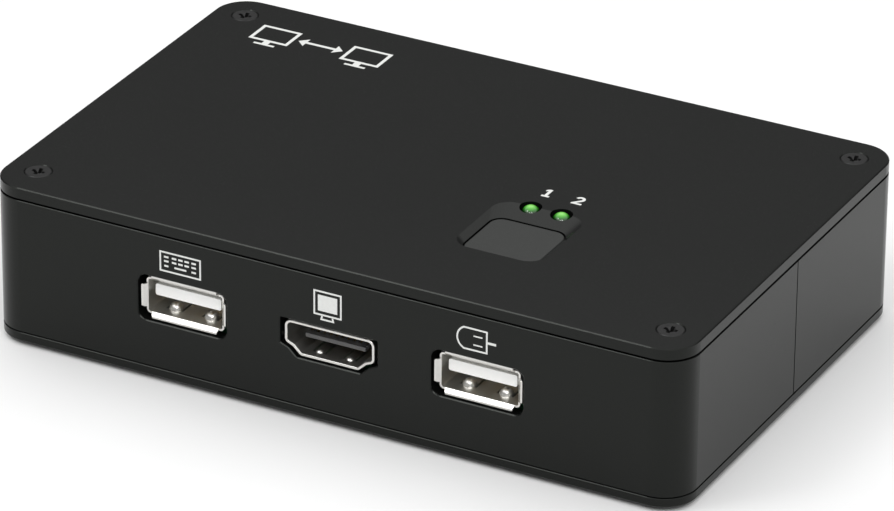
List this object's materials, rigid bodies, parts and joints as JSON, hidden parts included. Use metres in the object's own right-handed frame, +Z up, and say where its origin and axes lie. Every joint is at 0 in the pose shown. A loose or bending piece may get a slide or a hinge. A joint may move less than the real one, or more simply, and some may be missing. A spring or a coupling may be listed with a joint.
{
  "type": "kvm switch",
  "caption": "Flat black metal box that shares a keyboard, mouse and display between computers, with sockets front and back, a select button and indicator lamps on top.",
  "frame": {"origin": "on the supporting surface, under the middle of the case", "axes": "+X along the front panel to the right, +Y from the front panel to the rear panel, +Z up"},
  "size_m": [0.115, 0.074, 0.0267],
  "materials": {
    "case": "satin",
    "screws": "satin",
    "feet": "matte",
    "nickel": "polished",
    "usb_plastic": "satin",
    "tongue_plastic": "satin",
    "contacts": "polished",
    "button": "matte",
    "lamp": "polished",
    "board": "satin",
    "black_plastic": "matte",
    "tinned": "satin",
    "cans": "satin",
    "ceramic_parts": "satin",
    "resistor_parts": "gloss"
  },
  "bodies": {
    "case": {"board_screws": "tinned", "board_standoffs": "contacts", "bottom_cover": "case", "bottom_cover_screws": "screws", "capacitor_bases": "black_plastic", "capacitor_cans": "cans", "ceramic_capacitors": "ceramic_parts", "chip_leads": "tinned", "controller_chip": "black_plastic", "crystal": "tinned", "display_port_contacts": "contacts", "display_port_shell": "nickel", "display_port_tongue": "tongue_plastic", "front_shell": "case", "inductor": "black_plastic", "keyboard_port_contacts": "contacts", "keyboard_port_insulator": "usb_plastic", "keyboard_port_shell": "nickel", "lamp_1": "lamp", "lamp_2": "lamp", "lamp_leads": "tinned", "lamp_spacers": "black_plastic", "main_board": "board", "mouse_port_contacts": "contacts", "mouse_port_insulator": "usb_plastic", "mouse_port_shell": "nickel", "rear_shell": "case", "regulator": "black_plastic", "regulator_leads": "tinned", "resistors": "resistor_parts", "rubber_feet": "feet", "switch_base": "black_plastic", "switch_cover": "tinned", "switch_dome": "tinned", "switch_terminals": "tinned", "top_cover": "case", "top_cover_screws": "screws", "usb_in_1_contacts": "contacts", "usb_in_1_insulator": "usb_plastic", "usb_in_1_shell": "nickel", "usb_in_2_contacts": "contacts", "usb_in_2_insulator": "usb_plastic", "usb_in_2_shell": "nickel", "usb_switch_chip": "black_plastic", "video_in_1_contacts": "contacts", "video_in_1_shell": "nickel", "video_in_1_tongue": "tongue_plastic", "video_in_2_contacts": "contacts", "video_in_2_shell": "nickel", "video_in_2_tongue": "tongue_plastic", "video_switch_chip": "black_plastic"},
    "select_button": {"button_cap": "button", "switch_plunger": "black_plastic"}
  },
  "joints": [
    {"name": "select_button_press", "type": "slide", "parent": "case", "child": "select_button", "axis": [0, 0, -1], "range_m": [0, 0.0005], "stiffness_N_per_m": 2500, "springref_m": -0.0002, "deforming": ["switch_dome"]}
  ]
}
